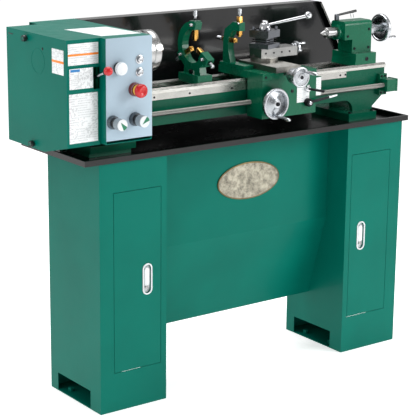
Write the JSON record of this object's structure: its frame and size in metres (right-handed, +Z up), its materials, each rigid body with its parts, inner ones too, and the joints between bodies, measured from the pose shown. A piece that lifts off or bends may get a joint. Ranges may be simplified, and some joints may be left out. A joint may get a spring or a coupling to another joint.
{
  "type": "metal lathe",
  "caption": "Green engine lathe with chuck, carriage, tailstock, steady and follow rests, on a sheet-steel stand with doors, chip tray and splash guard.",
  "frame": {"origin": "on the floor, under the middle of the machine's bounding box", "axes": "+X along the bed from headstock to tailstock, +Y to the back, +Z up"},
  "size_m": [1.382, 0.5234, 1.164],
  "materials": {
    "green_enamel": "gloss enamel",
    "black_enamel": "gloss enamel",
    "grey_panel": "satin",
    "ground_steel": "ground",
    "bright_chrome": "polished",
    "polished_aluminium": "polished",
    "black_iron": "oiled",
    "brass": "machined",
    "belt_rubber": "matte",
    "red_plastic": "gloss",
    "grey_plastic": "satin"
  },
  "bodies": {
    "stand_and_bed": {"left_cabinet": "green_enamel", "right_cabinet": "green_enamel", "centre_panel": "green_enamel", "oval_plaque": "brass", "chip_tray": "black_enamel", "splash_guard": "black_enamel", "bed_casting": "green_enamel", "gear_rack": "ground_steel", "leadscrew_bracket": "green_enamel", "headstock_casting": "green_enamel", "headstock_cover": "green_enamel", "spindle_rear_bearing": "ground_steel", "spindle_front_bearing": "ground_steel", "motor": "black_iron", "drive_belt": "belt_rubber", "control_panel": "grey_panel"},
    "left_door": {"left_door": "green_enamel"},
    "right_door": {"right_door": "green_enamel"},
    "end_cover": {"end_cover": "green_enamel"},
    "spindle": {"spindle": "ground_steel", "spindle_gear": "ground_steel", "spindle_pulley": "black_iron", "chuck_body": "bright_chrome"},
    "motor_pulley": {"motor_pulley": "black_iron"},
    "idler_gear": {"idler_gear": "ground_steel"},
    "leadscrew": {"leadscrew": "ground_steel"},
    "chuck_jaw_1": {"chuck_jaw_1": "ground_steel"},
    "chuck_jaw_2": {"chuck_jaw_2": "ground_steel"},
    "chuck_jaw_3": {"chuck_jaw_3": "ground_steel"},
    "emergency_stop": {"emergency_stop_button": "red_plastic"},
    "upper_push_button": {"upper_push_button": "bright_chrome"},
    "lower_push_button": {"lower_push_button": "bright_chrome"},
    "left_selector": {"left_selector_knob": "grey_plastic"},
    "right_selector": {"right_selector_knob": "grey_plastic"},
    "feed_direction_lever": {"feed_direction_lever": "red_plastic"},
    "steady_rest": {"steady_rest_frame": "green_enamel"},
    "steady_top_finger": {"steady_rest_top_finger": "brass"},
    "steady_front_finger": {"steady_rest_front_finger": "brass"},
    "steady_back_finger": {"steady_rest_back_finger": "brass"},
    "carriage": {"saddle": "green_enamel", "apron": "green_enamel", "follow_rest_frame": "green_enamel"},
    "follow_top_finger": {"follow_rest_top_finger": "brass"},
    "follow_back_finger": {"follow_rest_back_finger": "brass"},
    "carriage_handwheel": {"carriage_handwheel": "polished_aluminium"},
    "half_nut_lever": {"half_nut_lever": "bright_chrome"},
    "feed_lever": {"feed_lever": "black_iron"},
    "cross_slide": {"cross_slide": "ground_steel"},
    "cross_slide_handwheel": {"cross_slide_handwheel": "polished_aluminium"},
    "compound_swivel": {"compound_swivel": "ground_steel"},
    "compound_slide": {"compound_slide": "ground_steel"},
    "compound_handwheel": {"compound_handwheel": "polished_aluminium"},
    "tool_post": {"tool_post": "black_iron"},
    "tool_post_lever": {"tool_post_lever": "bright_chrome"},
    "tailstock": {"tailstock_base": "green_enamel", "tailstock_body": "green_enamel"},
    "quill": {"quill": "bright_chrome", "live_centre": "ground_steel"},
    "tailstock_handwheel": {"tailstock_handwheel": "polished_aluminium"},
    "quill_lock_lever": {"quill_lock_lever": "black_iron"}
  },
  "joints": [
    {"name": "left_door_hinge", "type": "hinge", "parent": "stand_and_bed", "child": "left_door", "pos_m": [-0.5245, -0.1333, 0.398], "axis": [0, 0, -1], "range_deg": [0, 110]},
    {"name": "right_door_hinge", "type": "hinge", "parent": "stand_and_bed", "child": "right_door", "pos_m": [0.563, -0.1333, 0.398], "axis": [0, 0, 1], "range_deg": [0, 110]},
    {"name": "end_cover_pull_off", "type": "slide", "parent": "stand_and_bed", "child": "end_cover", "axis": [-1, 0, 0], "range_m": [0, 0.13]},
    {"name": "spindle_spin", "type": "hinge", "parent": "stand_and_bed", "child": "spindle", "pos_m": [-0.501, 0.0237, 1.054], "axis": [1, 0, 0], "continuous": true},
    {"name": "motor_pulley_spin", "type": "hinge", "parent": "stand_and_bed", "child": "motor_pulley", "pos_m": [-0.593, 0.1627, 0.93], "axis": [1, 0, 0], "continuous": true},
    {"name": "idler_gear_spin", "type": "hinge", "parent": "stand_and_bed", "child": "idler_gear", "pos_m": [-0.619, -0.0272, 0.9891], "axis": [1, 0, 0], "continuous": true},
    {"name": "leadscrew_spin", "type": "hinge", "parent": "stand_and_bed", "child": "leadscrew", "pos_m": [-0.001, -0.0623, 0.877], "axis": [1, 0, 0], "continuous": true},
    {"name": "chuck_jaw_1_slide", "type": "slide", "parent": "spindle", "child": "chuck_jaw_1", "axis": [0, -0.9563, 0.2924], "range_m": [-0.008, 0.012]},
    {"name": "chuck_jaw_2_slide", "type": "slide", "parent": "spindle", "child": "chuck_jaw_2", "axis": [0, 0.225, -0.9744], "range_m": [-0.008, 0.012]},
    {"name": "chuck_jaw_3_slide", "type": "slide", "parent": "spindle", "child": "chuck_jaw_3", "axis": [0, 0.7314, 0.682], "range_m": [-0.008, 0.012]},
    {"name": "emergency_stop_press", "type": "slide", "parent": "stand_and_bed", "child": "emergency_stop", "axis": [0, 1, 0], "range_m": [0, 0.005], "stiffness_N_per_m": 600},
    {"name": "upper_button_press", "type": "slide", "parent": "stand_and_bed", "child": "upper_push_button", "axis": [0, 1, 0], "range_m": [0, 0.003], "stiffness_N_per_m": 400},
    {"name": "lower_button_press", "type": "slide", "parent": "stand_and_bed", "child": "lower_push_button", "axis": [0, 1, 0], "range_m": [0, 0.003], "stiffness_N_per_m": 400},
    {"name": "left_selector_turn", "type": "hinge", "parent": "stand_and_bed", "child": "left_selector", "pos_m": [-0.547, -0.1933, 0.893], "axis": [0, 1, 0], "range_deg": [-60, 60]},
    {"name": "right_selector_turn", "type": "hinge", "parent": "stand_and_bed", "child": "right_selector", "pos_m": [-0.472, -0.1933, 0.895], "axis": [0, 1, 0], "range_deg": [-60, 60]},
    {"name": "feed_direction_tilt", "type": "hinge", "parent": "stand_and_bed", "child": "feed_direction_lever", "pos_m": [-0.579, -0.0783, 1], "axis": [1, 0, 0], "range_deg": [-16, 24]},
    {"name": "steady_rest_slide", "type": "slide", "parent": "stand_and_bed", "child": "steady_rest", "axis": [1, 0, 0], "range_m": [-0.08, 0.015]},
    {"name": "steady_top_finger_slide", "type": "slide", "parent": "steady_rest", "child": "steady_top_finger", "axis": [0, 0, 1], "range_m": [-0.007, 0.008]},
    {"name": "steady_front_finger_slide", "type": "slide", "parent": "steady_rest", "child": "steady_front_finger", "axis": [0, -0.866, -0.5], "range_m": [-0.007, 0.008]},
    {"name": "steady_back_finger_slide", "type": "slide", "parent": "steady_rest", "child": "steady_back_finger", "axis": [0, 0.866, -0.5], "range_m": [-0.007, 0.008]},
    {"name": "carriage_slide", "type": "slide", "parent": "stand_and_bed", "child": "carriage", "axis": [1, 0, 0], "range_m": [-0.1, 0.03]},
    {"name": "follow_top_finger_slide", "type": "slide", "parent": "carriage", "child": "follow_top_finger", "axis": [0, 0, 1], "range_m": [-0.006, 0.008]},
    {"name": "follow_back_finger_slide", "type": "slide", "parent": "carriage", "child": "follow_back_finger", "axis": [0, 1, 0], "range_m": [-0.006, 0.008]},
    {"name": "carriage_handwheel_turn", "type": "hinge", "parent": "carriage", "child": "carriage_handwheel", "pos_m": [0.058, -0.1533, 0.882], "axis": [0, 1, 0], "range_deg": [-1801, 541]},
    {"name": "half_nut_tilt", "type": "hinge", "parent": "carriage", "child": "half_nut_lever", "pos_m": [0.206, -0.1333, 0.868], "axis": [0, 1, 0], "range_deg": [-25, 15]},
    {"name": "feed_lever_tilt", "type": "hinge", "parent": "carriage", "child": "feed_lever", "pos_m": [0.202, -0.1333, 0.912], "axis": [0, 1, 0], "range_deg": [-30, 30]},
    {"name": "cross_slide_travel", "type": "slide", "parent": "carriage", "child": "cross_slide", "axis": [0, 1, 0], "range_m": [-0.006, 0.045]},
    {"name": "cross_slide_handwheel_turn", "type": "hinge", "parent": "carriage", "child": "cross_slide_handwheel", "pos_m": [0.114, -0.1933, 0.966], "axis": [0, 1, 0], "range_deg": [-1081, 8101]},
    {"name": "compound_swivel_turn", "type": "hinge", "parent": "cross_slide", "child": "compound_swivel", "pos_m": [0.134, 0.0067, 0.995], "axis": [0, 0, 1], "range_deg": [-45, 45]},
    {"name": "compound_travel", "type": "slide", "parent": "compound_swivel", "child": "compound_slide", "axis": [1, 0, 0], "range_m": [-0.02, 0.02]},
    {"name": "compound_handwheel_turn", "type": "hinge", "parent": "compound_slide", "child": "compound_handwheel", "pos_m": [0.259, 0.0067, 1.0205], "axis": [1, 0, 0], "range_deg": [-4801, 4801]},
    {"name": "tool_post_index", "type": "hinge", "parent": "compound_slide", "child": "tool_post", "pos_m": [0.134, 0.0067, 1.06], "axis": [0, 0, 1], "continuous": true},
    {"name": "tool_post_clamp", "type": "hinge", "parent": "compound_slide", "child": "tool_post_lever", "pos_m": [0.134, 0.0067, 1.095], "axis": [0, 0, 1], "range_deg": [-60, 90]},
    {"name": "tailstock_slide", "type": "slide", "parent": "stand_and_bed", "child": "tailstock", "axis": [1, 0, 0], "range_m": [-0.04, 0.04]},
    {"name": "quill_travel", "type": "slide", "parent": "tailstock", "child": "quill", "axis": [-1, 0, 0], "range_m": [0, 0.05]},
    {"name": "tailstock_handwheel_turn", "type": "hinge", "parent": "tailstock", "child": "tailstock_handwheel", "pos_m": [0.646, 0.0237, 1.054], "axis": [-1, 0, 0], "range_deg": [0, 8990]},
    {"name": "quill_lock_turn", "type": "hinge", "parent": "tailstock", "child": "quill_lock_lever", "pos_m": [0.462, 0.0387, 1.1], "axis": [0, 0, 1], "range_deg": [-45, 45]}
  ],
  "couplings": [
    {"joint": "idler_gear_spin", "follows": "spindle_spin", "ratio": -0.43478},
    {"joint": "leadscrew_spin", "follows": "spindle_spin", "ratio": 0.41667},
    {"joint": "motor_pulley_spin", "follows": "spindle_spin", "ratio": 2},
    {"joint": "chuck_jaw_2_slide", "follows": "chuck_jaw_1_slide", "ratio": 1},
    {"joint": "chuck_jaw_3_slide", "follows": "chuck_jaw_1_slide", "ratio": 1},
    {"joint": "carriage_handwheel_turn", "follows": "carriage_slide", "rad_per_m": 314.16},
    {"joint": "cross_slide_handwheel_turn", "follows": "cross_slide_travel", "rad_per_m": 3141.6},
    {"joint": "compound_handwheel_turn", "follows": "compound_travel", "rad_per_m": 4188.8},
    {"joint": "quill_travel", "follows": "tailstock_handwheel_turn", "m_per_rad": 0.00031831}
  ]
}
